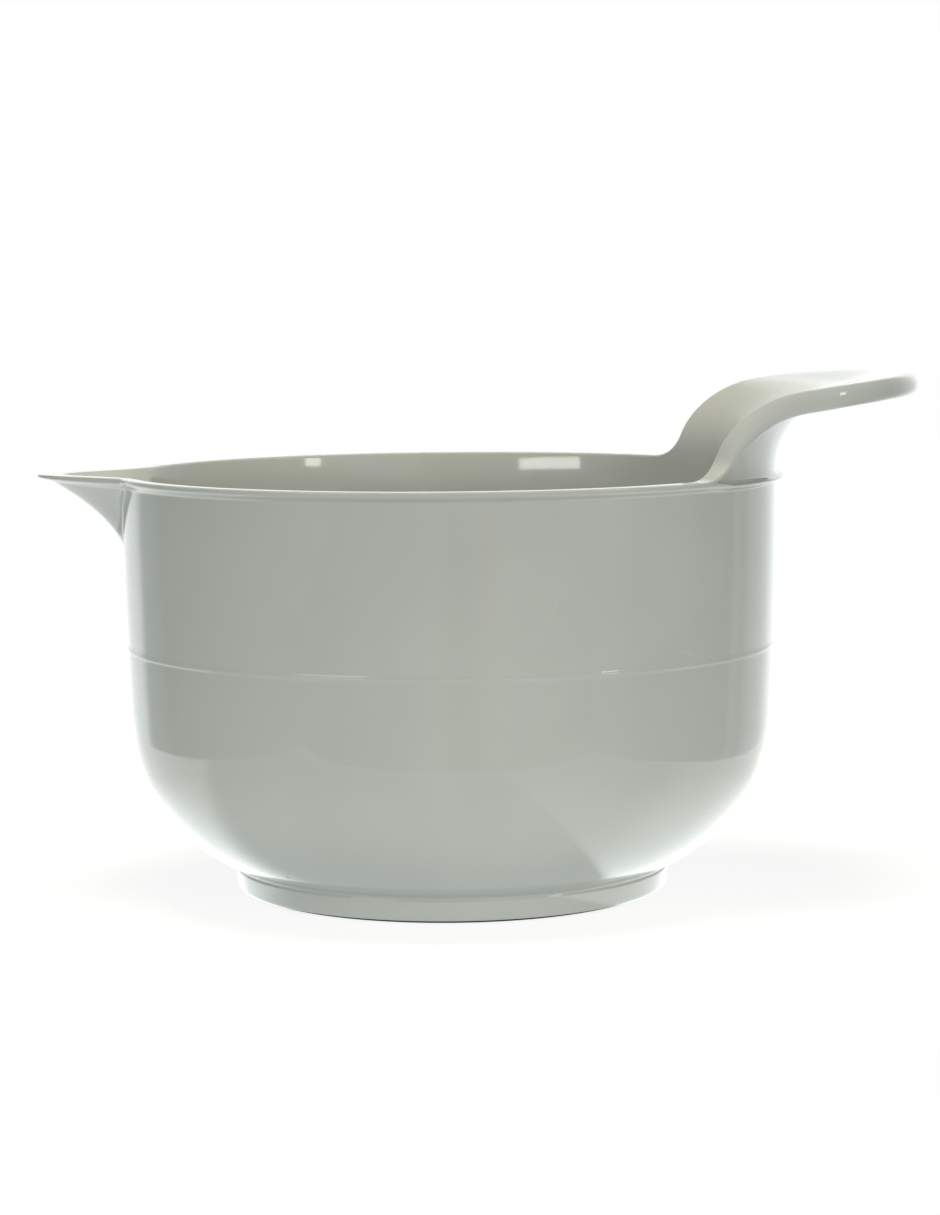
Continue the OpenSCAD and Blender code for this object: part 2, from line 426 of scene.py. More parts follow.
# %% [markdown]
# ## From the edge down to the wall
#
# Below the section the columns have to spread out again: those that start on the handle's edge lead in
# square to it, and then turn down to a level row on the wall. A cubic curve in angle and climb does that
# for all columns at once. The same rows serve the inner and the outer face.

# %% Columns from the section to a level row on the wall
base_depth = 40.0
spread_rows = 44
tongue_base = math.radians(21.0)
side_base = math.radians(36.0)
lead_share = 0.33
side_lead_most = 14.0

base_angle = np.concatenate([
    np.linspace(0, tongue_base, tongue_columns, endpoint=False),
    np.linspace(tongue_base, side_base, side_columns, endpoint=False),
    np.linspace(side_base, root_angle, root_columns, endpoint=False),
    rim_angle,
])
start_angle, start_climb = step_in(band_depth)
drop_length = start_climb + base_depth
side_lead = np.minimum(lead_share * drop_length, side_lead_most)
lead = side_lead + (lead_share * drop_length - side_lead) * way_climb**2
t = np.linspace(0, 1, spread_rows + 1)[:, None]


def cubic(start, lead_out, lead_in, end):
    """A cubic curve through four controls: the Bernstein sum over t."""
    return (1 - t) ** 3 * start + 3 * (1 - t) ** 2 * t * lead_out + 3 * (1 - t) * t**2 * lead_in + t**3 * end


column_angle = cubic(start_angle, start_angle + lead * way_angle / edge_r, base_angle, base_angle)
column_climb = cubic(
    start_climb,
    start_climb + lead * way_climb,
    -base_depth + lead_share * drop_length,
    -base_depth + 0 * start_climb,
)
inner_rows = inner_face(column_angle, column_climb)
outer_rows = outer_face(column_angle, column_climb)
cell = np.diff(column_angle, axis=1)[:-1] * np.diff(column_climb, axis=0)[:, :-1]
twist = np.diff(column_angle, axis=0)[:, :-1] * np.diff(column_climb, axis=1)[:-1]
print("smallest cell in angle and climb:", float((twist - cell).min()))

# %% [markdown]
# ## The round part
#
# Below the level row everything is turned on a lathe, so a section in radius and height is enough:
# inside, the rest of the wall, the corner and the floor; outside, the wall with the fine raised line
# where the two halves of the mould met, the corner, the foot, and the groove that holds the ring.

# %% Helpers for sections
def rounded(points, radii, steps=5):
    """A line through points whose corners are replaced by arcs: each arc touches both sides of its corner."""
    points = np.array(points, float)
    pieces = [points[:1]]
    for before, corner, after, radius in zip(points[:-2], points[1:-1], points[2:], radii):
        to_before = (before - corner) / np.linalg.norm(before - corner)
        to_after = (after - corner) / np.linalg.norm(after - corner)
        half = math.acos(float(np.clip(to_before @ to_after, -1, 1))) / 2
        reach = radius / math.tan(half)
        middle = to_before + to_after
        centre = corner + middle / np.linalg.norm(middle) * radius / math.sin(half)
        first, last = corner + to_before * reach - centre, corner + to_after * reach - centre
        share = np.linspace(0, 1, steps)[:, None]
        gap = math.pi - 2 * half
        arc = np.sin((1 - share) * gap) * first + np.sin(share * gap) * last
        pieces.append(centre + arc / math.sin(gap))
    return np.concatenate(pieces + [points[-1:]])


def corner_arc(radius, start, end, steps):
    """Points of the bowl's round lower corner, by angle below level."""
    angle = np.linspace(start, end, steps)
    return np.stack([corner_x + radius * np.cos(angle), corner_z - radius * np.sin(angle)], axis=-1)


# %% Section of the inside, from the level row to the middle of the floor
inside_wall_rows = 12
inside_corner_rows = 22
floor_rows = 7
inside_depth = np.linspace(base_depth, wall_depth, inside_wall_rows, endpoint=False)[1:]
inside_wall = np.stack([wall_r(inside_depth) - wall_t, rim_h - inside_depth], axis=-1)
inside_corner = corner_arc(corner_r - wall_t, wall_end_lean, np.pi / 2, inside_corner_rows)
floor_radius = np.linspace(corner_x, 0, floor_rows, endpoint=False)[1:]
inside_floor = np.stack([floor_radius, np.full_like(floor_radius, floor_under_h + wall_t)], axis=-1)
inside_section = np.concatenate([inside_wall, inside_corner, inside_floor])
print("rows inside:", len(inside_section), "floor height", round(floor_under_h + wall_t, 2))

# %% Section of the outside, from the level row to the middle of the underside
mould_line_depth = 51.6
mould_line_reach = 0.30
mould_line_w = 0.6
foot_arc_r = 67.2
foot_neck_r = 64.85
foot_neck_h = 7.9
foot_top_r = 65.4
foot_top_h = 6.9
foot_bottom_r = 64.7
foot_in_r = 53.5
foot_in_lean = 0.6
foot_lift = 0.4
# One rounding for each corner of the foot's line, from its neck round to the floor
foot_rounds = (0.7, 0.9, 1.4, 0.15, 0.2, 0.2, 0.15, 0.5, 1.2)
outside_corner_rows = 24
groove_gap = 0.1
ring_w = 5.0
ring_out_r = ring_high[0]
ring_in_r = ring_out_r - ring_w
foot_base_h = bowl_low[2] + foot_lift

line_places = np.array([0, 0.4, 0.8, 1.2, 1.7, 2.5, 4])
line_rows = mould_line_depth + mould_line_w * np.concatenate([-line_places[:0:-1], line_places])
outside_depth = np.concatenate([
    np.linspace(base_depth, line_rows[0], 6, endpoint=False)[1:],
    line_rows,
    np.linspace(line_rows[-1], wall_depth, 9, endpoint=False)[1:],
])
mould_line = mould_line_reach * np.exp(-(((outside_depth - mould_line_depth) / mould_line_w) ** 2))
outside_wall = np.stack([wall_r(outside_depth) + mould_line, rim_h - outside_depth], axis=-1)

neck_angle = math.acos((foot_arc_r - corner_x) / corner_r)
outside_corner = corner_arc(corner_r, wall_end_lean, neck_angle, outside_corner_rows)
foot_in_top_r = foot_in_r - foot_in_lean
foot_in_top = [foot_in_top_r, corner_z - math.sqrt(corner_r**2 - (foot_in_top_r - corner_x) ** 2)]
foot = rounded(
    [
        outside_corner[-1],
        [foot_neck_r, foot_neck_h],
        [foot_top_r, foot_top_h],
        [foot_bottom_r, foot_base_h],
        [ring_out_r + groove_gap, foot_base_h],
        [ring_out_r + groove_gap, ring_high[2]],
        [ring_in_r - groove_gap, ring_high[2]],
        [ring_in_r - groove_gap, foot_base_h],
        [foot_in_r, foot_base_h],
        foot_in_top,
        [corner_x, floor_under_h],
    ],
    foot_rounds,
)
underside = np.stack([floor_radius, np.full_like(floor_radius, floor_under_h)], axis=-1)
outside_section = np.concatenate([outside_wall, outside_corner, foot[1:], underside])
print("rows outside:", len(outside_section))
print("foot from", round(float(foot_base_h), 2), "to", foot_top_h, "mm")

# %% [markdown]
# ## Closing the surface
#
# All rows are stacked from the middle of the floor, up the inside, over the edge, down the outside and to
# the middle of the underside. The half is mirrored in the plane through spout and handle, which gives
# closed loops of points. Two single points close the surface in the middle of the floor and of the
# underside.

# %% Mesh from loops of points
def mirrored(half):
    """Closed loops from half loops: the half, then its mirror image without the two ends."""
    return np.concatenate([half, half[:, -2:0:-1] * np.array([1, -1, 1])], axis=1)


def loop_quads(rows, columns, first, closed_rows=False):
    """Corner numbers of the quads between neighbouring loops, numbered row by row from the first vertex."""
    row = np.arange(rows if closed_rows else rows - 1)[:, None]
    column = np.arange(columns)[None, :]
    here, right = first + row * columns, first + ((row + 1) % rows) * columns
    ahead = (column + 1) % columns
    return np.stack([here + column, right + column, right + ahead, here + ahead], axis=-1).reshape(-1, 4)


def make_piece(name, points, quads, triangles):
    """A smooth mesh object at the origin, from points in millimetres and arrays of corner numbers."""
    mesh = bpy.data.meshes.new(name)
    loops = np.concatenate([quads.ravel(), triangles.ravel()]).astype(np.int32)
    sizes = np.concatenate([np.full(len(quads), 4), np.full(len(triangles), 3)])
    starts = np.concatenate([[0], np.cumsum(sizes)[:-1]]).astype(np.int32)
    mesh.vertices.add(len(points))
    mesh.loops.add(len(loops))
    mesh.polygons.add(len(sizes))
    mesh.vertices.foreach_set("co", (points * MM).astype(np.float32).ravel())
    mesh.loops.foreach_set("vertex_index", loops)
    mesh.polygons.foreach_set("loop_start", starts)
    mesh.polygons.foreach_set("use_smooth", np.ones(len(sizes), bool))
    mesh.update(calc_edges=True)
    mesh.validate()
    piece = bpy.data.objects.new(name, mesh)
    bpy.context.scene.collection.objects.link(piece)
    return piece


# %% The bowl's loops
def turned(section):
    """Rows of a section turned about the axis, at the angles of the level row."""
    return around(base_angle[None, :], section[:, :1], section[:, 1:])


half_rows = np.concatenate([
    turned(inside_section)[::-1],
    inner_rows[::-1],
    edge_rows,
    outer_rows,
    turned(outside_section),
])
bowl_loops = mirrored(half_rows)
row_count, column_count = bowl_loops.shape[:2]
floor_middle = np.array([[0, 0, floor_under_h + wall_t]])
under_middle = np.array([[0, 0, floor_under_h]])
print("bowl loops:", row_count, "columns:", column_count, "triangles:", 2 * row_count * column_count)

# %% [markdown]
# ### The lip behind the handle
#
# Where the handle stands on the rim, the edge path leaves the rim and climbs. The lip itself goes on
# round the wall, behind the handle, as a thin fin. It is a closed strip of its own in the same mesh: its
# ends lie just inside the lip of the rim, and between them its upper side is hollowed, so that it runs up
# into the back of the handle.

# %% The lip behind the handle
strip_step = 0.03
strip_root = 1.2
strip_over = math.radians(2.0)
strip_from = math.radians(1.0)
strip_ease = math.radians(9.0)
strip_round = 0.3
hollow_w = 1.7
hollow_h = 3.0
hollow_low = 1.4
hollow_overlap = 0.2
fin_edge_h = 0.1
strip_columns = 91
hollow_points, round_points, fall_points = 14, 6, 13

strip_angle = np.linspace(-root_angle - strip_over, root_angle + strip_over, strip_columns)[:, None]
strip_share = ease((root_angle - strip_from - np.abs(strip_angle)) / strip_ease)
strip_in_r = wall_top_r - strip_root
strip_out_r = rim_r - strip_step
hollow_turn = np.linspace(0, np.pi / 2, hollow_points)[None, :]
strip_turn = np.linspace(0, np.pi / 2, round_points)[None, :]
strip_fall = np.linspace(0, 1, fall_points)[None, :]

flat_h = rim_h - strip_step
hollow_out_r = wall_top_r - hollow_overlap + hollow_w
hollow_r = hollow_out_r - hollow_w * np.cos(hollow_turn)
top_r = np.concatenate([[[strip_in_r]], hollow_r], axis=1) + 0 * strip_share
hollow = hollow_h * (1 - np.sin(np.concatenate([[[0.0]], hollow_turn], axis=1))) - hollow_low
top_h = flat_h + strip_share * hollow
turn_r = strip_out_r - strip_round * (1 - np.sin(strip_turn)) + 0 * strip_share
turn_h = top_h[:, -1:] - strip_round * (1 - np.cos(strip_turn))
fall_r = wall_top_r - strip_step + (strip_out_r - wall_top_r) * (1 - ease(strip_fall)) + 0 * strip_share
rim_fall_h = rim_h - fall_start[-1 - spout_columns]
fin_fall_h = turn_h[:, -1:] - fin_edge_h
fall_from_h = rim_fall_h + strip_share * (np.minimum(fin_fall_h, rim_fall_h) - rim_fall_h)
fall_to_h = rim_h - fall_end[-1 - spout_columns]
fall_h = fall_from_h + (fall_to_h - fall_from_h) * strip_fall
back_r = np.full((strip_columns, 1), strip_in_r)
back_h = fall_h[:, -1:]
strip_r = np.concatenate([top_r, turn_r, fall_r, back_r], axis=1)
strip_h = np.concatenate([top_h, turn_h, fall_h, back_h], axis=1)
strip_loops = around(strip_angle, strip_r, strip_h)
strip_rows, strip_points = strip_loops.shape[:2]
print("lip behind the handle:", strip_rows, "sections of", strip_points, "points")

# %% One mesh for the bowl
bowl_points = np.concatenate([
    bowl_loops.reshape(-1, 3),
    floor_middle,
    under_middle,
    strip_loops.reshape(-1, 3),
])
floor_index = row_count * column_count
strip_first = floor_index + 2
column = np.arange(column_count)
ahead = (column + 1) % column_count
last_row = (row_count - 1) * column_count
fans = np.concatenate([
    np.stack([np.full(column_count, floor_index), column, ahead], axis=-1),
    np.stack([np.full(column_count, floor_index + 1), last_row + ahead, last_row + column], axis=-1),
])
strip_last = strip_first + (strip_rows - 1) * strip_points
strip_corner = np.arange(1, strip_points - 1)
strip_fan = np.stack([0 * strip_corner, strip_corner, strip_corner + 1], axis=-1)
strip_caps = np.concatenate([strip_first + strip_fan[:, [0, 2, 1]], strip_last + strip_fan])
bowl_quads = np.concatenate([
    loop_quads(row_count, column_count, 0),
    loop_quads(strip_rows, strip_points, strip_first)[:, ::-1],
])
bowl = make_piece("melamine_bowl", bowl_points, bowl_quads, np.concatenate([fans, strip_caps]))
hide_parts("bowl")
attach(bowl, "root")
print("bowl:", len(bowl.data.vertices), "vertices", len(bowl.data.polygons), "faces")

# %% [markdown]
# ## The non-slip ring
#
# The ring is a soft band with rounded lower edges. It is pressed into its groove and stands a little
# proud, so that the bowl rests on rubber. Its section is a closed loop, turned about the axis.

# %% The ring
ring_columns = 192
ring_h = ring_high[2]
seam_start, seam_end = 1.0, 1.2
ring_rounds = (0.45, 0.3, 0.3, 0.45)
ring_section = rounded(
    [
        [ring_out_r - seam_start, 0.0],
        [ring_out_r, 0.0],
        [ring_out_r, ring_h],
        [ring_in_r, ring_h],
        [ring_in_r, 0.0],
        [ring_out_r - seam_end, 0.0],
    ],
    ring_rounds,
)
ring_angle = np.linspace(0, 2 * np.pi, ring_columns, endpoint=False)
ring_loops = around(ring_angle[None, :], ring_section[:, None, 0], ring_section[:, None, 1])
ring_quads = loop_quads(len(ring_section), ring_columns, 0, closed_rows=True)
ring = make_piece("rubber_ring", ring_loops.reshape(-1, 3), ring_quads[:, ::-1], np.zeros((0, 3), int))
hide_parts("non_slip_ring")
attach(ring, "root")
print("ring:", len(ring.data.vertices), "vertices")

# %% [markdown]
# ## Finishes
#
# Melamine is a hard, glossy resin. Its colour is even, but it is never a flat colour: the filler clouds
# it a little, the gloss changes where hands and sponges have rubbed it, and a used bowl has hairline
# scuffs and a few specks. The ring is soft rubber, dark and dull, with a fine grain. Both finishes share
# two effects, so each effect is a node group with its own inputs: `fine_grain` gives clouds and grain,
# `handling_marks` gives scuffs and specks. All patterns are read from the piece's own coordinates, so
# they hold still when the view changes.

# %% Helpers for node trees
def add_node(tree, kind, **settings):
    """A new node of a kind, with its properties set by name."""
    new = tree.nodes.new(kind)
    for name, value in settings.items():
        setattr(new, name, value)
    return new


def join(tree, *pairs):
    """Links, given as pairs of an output socket and an input socket."""
    for source, target in pairs:
        tree.links.new(source, target)


def new_group(name, inputs, outputs):
    """An empty shader group with named sockets; returns it with its input and output nodes."""
    group = bpy.data.node_groups.new(name, "ShaderNodeTree")
    for socket, kind, value in inputs:
        made = group.interface.new_socket(socket, in_out="INPUT", socket_type=kind)
        if value is not None:
            made.default_value = value
    for socket in outputs:
        group.interface.new_socket(socket, in_out="OUTPUT", socket_type="NodeSocketFloat")
    return group, add_node(group, "NodeGroupInput"), add_node(group, "NodeGroupOutput")


def soft_step(tree, value, low, high):
    """A value mapped smoothly from 0 at low to 1 at high."""
    step = add_node(tree, "ShaderNodeMapRange", interpolation_type="SMOOTHSTEP")
    step.inputs["From Min"].default_value = low
    step.inputs["From Max"].default_value = high
    join(tree, (value, step.inputs["Value"]))
    return step.outputs["Result"]


def times(tree, first, second):
    """The product of two values; each is a socket or a number."""
    product = add_node(tree, "ShaderNodeMath", operation="MULTIPLY")
    for place, value in enumerate((first, second)):
        if isinstance(value, (int, float)):
            product.inputs[place].default_value = value
        else:
            join(tree, (value, product.inputs[place]))
    return product.outputs["Value"]


# %% Clouds and grain, shared by both finishes
def fine_grain():
    """Two noises of the place: wide clouds and fine grain, each about 0.5 on average."""
    group, given, result = new_group(
        "fine_grain",
        [
            ("Place", "NodeSocketVector", None),
            ("Cloud Scale", "NodeSocketFloat", 20.0),
            ("Grain Scale", "NodeSocketFloat", 900.0),
        ],
        ["Cloud", "Grain"],
    )
    for name, detail in (("Cloud", 3.0), ("Grain", 2.0)):
        noise = add_node(group, "ShaderNodeTexNoise")
        noise.inputs["Detail"].default_value = detail
        join(
            group,
            (given.outputs["Place"], noise.inputs["Vector"]),
            (given.outputs[name + " Scale"], noise.inputs["Scale"]),
            (noise.outputs["Fac"], result.inputs[name]),
        )
    return group


grain_group = fine_grain()
print("group:", grain_group.name, [socket.name for socket in grain_group.interface.items_tree])

# %% Scuffs and specks, shared by both finishes
def handling_marks():
    """Scuffs are thin discs in a few cells that cut the surface in short hairlines; specks are dots.

    With d the way from a cell's centre and v a random way, a disc is where |d . v| and |d| are both small.
    """
    disc_edge, disc_reach, scuffed_cells = (1.0, 0.4), (0.34, 0.12), (0.80, 0.95)
    speck_edge, specked_cells = (0.035, 0.022), (0.955, 0.965)
    group, given, result = new_group(
        "handling_marks",
        [
            ("Place", "NodeSocketVector", None),
            ("Scuff Scale", "NodeSocketFloat", 40.0),
            ("Scuff Width", "NodeSocketFloat", 0.0001),
            ("Speck Scale", "NodeSocketFloat", 60.0),
        ],
        ["Scuffs", "Specks"],
    )
    cells = add_node(group, "ShaderNodeTexVoronoi", feature="F1")
    from_centre = add_node(group, "ShaderNodeVectorMath", operation="SUBTRACT")
    random_way = add_node(group, "ShaderNodeVectorMath", operation="SUBTRACT")
    random_way.inputs[1].default_value = (0.5, 0.5, 0.5)
    unit_way = add_node(group, "ShaderNodeVectorMath", operation="NORMALIZE")
    across = add_node(group, "ShaderNodeVectorMath", operation="DOT_PRODUCT")
    off_disc = add_node(group, "ShaderNodeMath", operation="ABSOLUTE")
    in_widths = add_node(group, "ShaderNodeMath", operation="DIVIDE")
    chance = add_node(group, "ShaderNodeTexWhiteNoise")
    join(
        group,
        (given.outputs["Place"], cells.inputs["Vector"]),
        (given.outputs["Scuff Scale"], cells.inputs["Scale"]),
        (given.outputs["Place"], from_centre.inputs[0]),
        (cells.outputs["Position"], from_centre.inputs[1]),
        (cells.outputs["Color"], random_way.inputs[0]),
        (random_way.outputs["Vector"], unit_way.inputs[0]),
        (from_centre.outputs["Vector"], across.inputs[0]),
        (unit_way.outputs["Vector"], across.inputs[1]),
        (across.outputs["Value"], off_disc.inputs[0]),
        (off_disc.outputs["Value"], in_widths.inputs[0]),
        (given.outputs["Scuff Width"], in_widths.inputs[1]),
        (cells.outputs["Position"], chance.inputs["Vector"]),
    )
    thin = soft_step(group, in_widths.outputs["Value"], *disc_edge)
    short = soft_step(group, cells.outputs["Distance"], *disc_reach)
    few = soft_step(group, chance.outputs["Value"], *scuffed_cells)
    join(group, (times(group, times(group, thin, short), few), result.inputs["Scuffs"]))

    dots = add_node(group, "ShaderNodeTexVoronoi", feature="F1")
    speck_chance = add_node(group, "ShaderNodeSeparateColor")
    join(
        group,
        (given.outputs["Place"], dots.inputs["Vector"]),
        (given.outputs["Speck Scale"], dots.inputs["Scale"]),
        (dots.outputs["Color"], speck_chance.inputs["Color"]),
    )
    small = soft_step(group, dots.outputs["Distance"], *speck_edge)
    rare = soft_step(group, speck_chance.outputs["Red"], *specked_cells)
    join(group, (times(group, small, rare), result.inputs["Specks"]))
    return group


marks_group = handling_marks()
print("group:", marks_group.name, [socket.name for socket in marks_group.interface.items_tree])

# %% [markdown]
# ### One function for both finishes
#
# The two finishes differ in values, not in layout: a colour clouded between two tones, lighter scuffs,
# darker specks, a roughness that follows clouds and scuffs, and a bump. So one function lays out the
# nodes, and each finish gives its own values. The bump is in metres: about a tenth of a millimetre of wide
# waviness is enough to make a reflection in a glossy wall waver a little, as moulded plastic does.

# %% Layout of a finish
cloud_range = (0.35, 0.65)


def clouded_finish(name, tones, scuff_tone, speck_tone, roughness, scuff_roughness, scales, bumps):
    """A Principled finish: tones and roughness are pairs that the clouds mix, bumps are heights in metres."""
    finish = bpy.data.materials.new(name)
    finish.use_nodes = True
    tree = finish.node_tree
    shader = tree.nodes["Principled BSDF"]
    place = add_node(tree, "ShaderNodeTexCoord").outputs["Object"]
    grain = add_node(tree, "ShaderNodeGroup", node_tree=grain_group)
    marks = add_node(tree, "ShaderNodeGroup", node_tree=marks_group)
    for group, socket, value in (
        (grain, "Cloud Scale", scales["cloud"]),
        (grain, "Grain Scale", scales["grain"]),
        (marks, "Scuff Scale", scales["scuff"]),
        (marks, "Scuff Width", scales["scuff_w"]),
        (marks, "Speck Scale", scales["speck"]),
    ):
        group.inputs[socket].default_value = value
    join(tree, (place, grain.inputs["Place"]), (place, marks.inputs["Place"]))

    clouds = soft_step(tree, grain.outputs["Cloud"], *cloud_range)
    colour = add_node(tree, "ShaderNodeMix", data_type="RGBA")
    colour.inputs[6].default_value = (*tones[0], 1.0)
    colour.inputs[7].default_value = (*tones[1], 1.0)
    join(tree, (clouds, colour.inputs[0]))
    for mask, tone in ((marks.outputs["Scuffs"], scuff_tone), (marks.outputs["Specks"], speck_tone)):
        above = add_node(tree, "ShaderNodeMix", data_type="RGBA")
        above.inputs[7].default_value = (*tone, 1.0)
        join(tree, (mask, above.inputs[0]), (colour.outputs[2], above.inputs[6]))
        colour = above
    join(tree, (colour.outputs[2], shader.inputs["Base Color"]))

    rough = add_node(tree, "ShaderNodeMix", data_type="FLOAT")
    rough.inputs[2].default_value, rough.inputs[3].default_value = roughness
    rubbed = add_node(tree, "ShaderNodeMix", data_type="FLOAT")
    rubbed.inputs[3].default_value = scuff_roughness
    join(
        tree,
        (clouds, rough.inputs[0]),
        (marks.outputs["Scuffs"], rubbed.inputs[0]),
        (rough.outputs[0], rubbed.inputs[2]),
        (rubbed.outputs[0], shader.inputs["Roughness"]),
    )

    normal = None
    for output, height in (("Cloud", bumps[0]), ("Grain", bumps[1])):
        bump = add_node(tree, "ShaderNodeBump")
        bump.inputs["Distance"].default_value = height
        join(tree, (grain.outputs[output], bump.inputs["Height"]))
        if normal is not None:
            join(tree, (normal, bump.inputs["Normal"]))
        normal = bump.outputs["Normal"]
    join(tree, (normal, shader.inputs["Normal"]))
    return finish, shader


# %% Melamine and rubber
melamine_ior = 1.53
melamine, melamine_shader = clouded_finish(
    "glossy_melamine",
    tones=((0.361, 0.384, 0.366), (0.375, 0.399, 0.380)),
    scuff_tone=(0.41, 0.43, 0.41),
    speck_tone=(0.10, 0.10, 0.09),
    roughness=(0.055, 0.085),
    scuff_roughness=0.13,
    scales={"cloud": 22.0, "grain": 1600.0, "scuff": 38.0, "scuff_w": 0.00016, "speck": 42.0},
    bumps=(0.00012, 0.0000012),
)
melamine_shader.inputs["IOR"].default_value = melamine_ior
bowl.data.materials.append(melamine)

rubber, _ = clouded_finish(
    "soft_rubber",
    tones=((0.026, 0.026, 0.026), (0.036, 0.036, 0.035)),
    scuff_tone=(0.07, 0.07, 0.068),
    speck_tone=(0.10, 0.10, 0.095),
    roughness=(0.68, 0.82),
    scuff_roughness=0.9,
    scales={"cloud": 60.0, "grain": 2600.0, "scuff": 90.0, "scuff_w": 0.0001, "speck": 160.0},
    bumps=(0.00005, 0.00003),
)
ring.data.materials.append(rubber)
print("finishes:", melamine.name, "with", len(melamine.node_tree.nodes), "nodes,", rubber.name)

# %% [markdown]
# ## Camera
#
# The view is a product view: a metre away, a little above the rim, with a long lens, so that the rim
# shows as a thin ellipse and the far edge of the handle as a second line. The bowl was not set quite
# square to the camera: the whole view is turned by about one degree about the bowl's axis.

# %% Camera
camera_place = (6.0 * MM, -999.2 * MM, 186.8 * MM)
camera_pitch = 0.1021
camera_roll = -0.0085
camera_turn = math.radians(-1.2)
sensor_w, lens_length = 36.0, 98.68
camera_data = bpy.data.cameras.new("camera")
camera_data.sensor_width = sensor_w
camera_data.lens = lens_length
camera = bpy.data.objects.new("camera", camera_data)
camera.matrix_world = (
    Matrix.Rotation(camera_turn, 4, "Z")
    @ Matrix.Translation(camera_place)
    @ Matrix.Rotation(math.pi / 2 - camera_pitch, 4, "X")
    @ Matrix.Rotation(camera_roll, 4, "Z")
)
bpy.context.scene.collection.objects.link(camera)
bpy.context.scene.camera = camera
print("camera at", [round(value, 3) for value in camera.matrix_world.translation])

# %% [markdown]
# ## Board and light
#
# A glossy bowl looks like its surroundings, so the studio is made for its reflections. The bowl stands on
# a white board. Behind it is a bright white backdrop, which gives the white edges at the sides of the
# wall. In front is the dim side of the studio, which the wall mirrors as a calm grey with a few upright
# bands. The front edges of the board show on the round corner as faint lines. The camera itself sees
# plain white, and the bowl's soft shadow on the board. Three soft lamps light the colours and stay out of
# the gloss.
#
# What the gloss mirrors on the board is a number at each point of its mesh, light and shade painted into the
# board's glow. It is dim in front of the bowl, a painted shadow where the bowl shades the board itself, and
# bright at the back and on the right, painted light. Reading it from the mesh keeps the formula in numpy. The
# light that the board throws on the bowl's colours is even.

# %% White board
scene = bpy.context.scene
scene.view_settings.view_transform = "Standard"
board_left, board_right = -240.0, 205.0
board_front, board_back = -222.0, 330.0
board_step = 3.0
near_sheen, front_sheen, back_sheen, line_sheen = 0.75, 0.95, 3.2, 1.9
line_w = 6.0
back_from, back_w = -50.0, 26.0
joint_x, joint_w = 46.0, 4.0
joint_front, joint_fade, joint_loss = -55.0, 40.0, 0.6
foot_shade_r, foot_shade_w = 75.0, 35.0
far_from, far_w, far_loss = 80.0, 100.0, 0.45
board_light = 1.10
board_tint = (0.96, 1.0, 0.985, 1.0)
paint_tone = (0.86, 0.86, 0.86, 1.0)
plain_white = (1.0, 1.0, 1.0, 1.0)
seen_light = 1.16
light_share = 0.7

across_count = int((board_right - board_left) / board_step) + 1
along_count = int((board_back - board_front) / board_step) + 1
board_x, board_y = np.meshgrid(
    np.linspace(board_left, board_right, across_count),
    np.linspace(board_front, board_back, along_count),
)
board_loops = np.stack([board_x, board_y, 0 * board_x], axis=-1)


def board_sheen(x, y):
    """Painted shade near the foot, painted light behind and right of a joint, dimmer far out, a line at the
    edge.
    """
    right = ease((x - joint_x) / joint_w) * (1 - joint_loss * ease((joint_front - y) / joint_fade))
    bright = np.maximum(ease((y - back_from) / back_w), right)
    away = np.hypot(x, y)
    front = near_sheen + (front_sheen - near_sheen) * ease((away - foot_shade_r) / foot_shade_w)
    sheen = (front + (back_sheen - front) * bright) * (1 - far_loss * ease((away - far_from) / far_w))
    edge_distance = np.minimum(np.minimum(x - board_left, board_right - x), y - board_front)
    return sheen + (line_sheen - sheen) * ease((line_w - edge_distance) / board_step)


board_index = np.arange(board_x.size).reshape(board_x.shape)
board_quads = np.stack(
    [board_index[:-1, :-1], board_index[:-1, 1:], board_index[1:, 1:], board_index[1:, :-1]], axis=-1
).reshape(-1, 4)
board = make_piece("board", board_loops.reshape(-1, 3), board_quads, np.zeros((0, 3), int))
sheen_layer = board.data.attributes.new("sheen", "FLOAT", "POINT")
sheen_layer.data.foreach_set("value", board_sheen(board_x, board_y).astype(np.float32).ravel())

# The board's glow, as the gloss sees it, holds painted shade near the foot and painted light behind and on
# the right. Its diffuse paint is an even pale grey.
board_paint_and_glow = bpy.data.materials.new("board_paint_and_glow")
board_paint_and_glow.use_nodes = True
board_tree = board_paint_and_glow.node_tree
board_tree.nodes.clear()
board_path = add_node(board_tree, "ShaderNodeLightPath")
sheen_value = add_node(board_tree, "ShaderNodeAttribute", attribute_name="sheen")
mirrored_light = add_node(board_tree, "ShaderNodeMix", data_type="FLOAT")
mirrored_light.inputs[2].default_value = board_light
camera_light = add_node(board_tree, "ShaderNodeMix", data_type="FLOAT")
camera_light.inputs[3].default_value = seen_light
glow_tint = add_node(board_tree, "ShaderNodeMix", data_type="RGBA")
glow_tint.inputs[6].default_value = board_tint
glow_tint.inputs[7].default_value = plain_white
board_glow = add_node(board_tree, "ShaderNodeEmission")
board_diffuse = add_node(board_tree, "ShaderNodeBsdfDiffuse")
board_diffuse.inputs["Color"].default_value = paint_tone
board_mix = add_node(board_tree, "ShaderNodeMixShader")
board_mix.inputs[0].default_value = light_share
board_out = add_node(board_tree, "ShaderNodeOutputMaterial")
join(
    board_tree,
    (board_path.outputs["Is Glossy Ray"], mirrored_light.inputs[0]),
    (sheen_value.outputs["Fac"], mirrored_light.inputs[3]),
    (board_path.outputs["Is Camera Ray"], camera_light.inputs[0]),
    (board_path.outputs["Is Camera Ray"], glow_tint.inputs[0]),
    (glow_tint.outputs[2], board_glow.inputs["Color"]),
    (mirrored_light.outputs[0], camera_light.inputs[2]),
    (camera_light.outputs[0], board_glow.inputs["Strength"]),
    (board_diffuse.outputs[0], board_mix.inputs[1]),
    (board_glow.outputs[0], board_mix.inputs[2]),
    (board_mix.outputs[0], board_out.inputs["Surface"]),
)
board.data.materials.append(board_paint_and_glow)
print("board:", across_count, "x", along_count, "points")

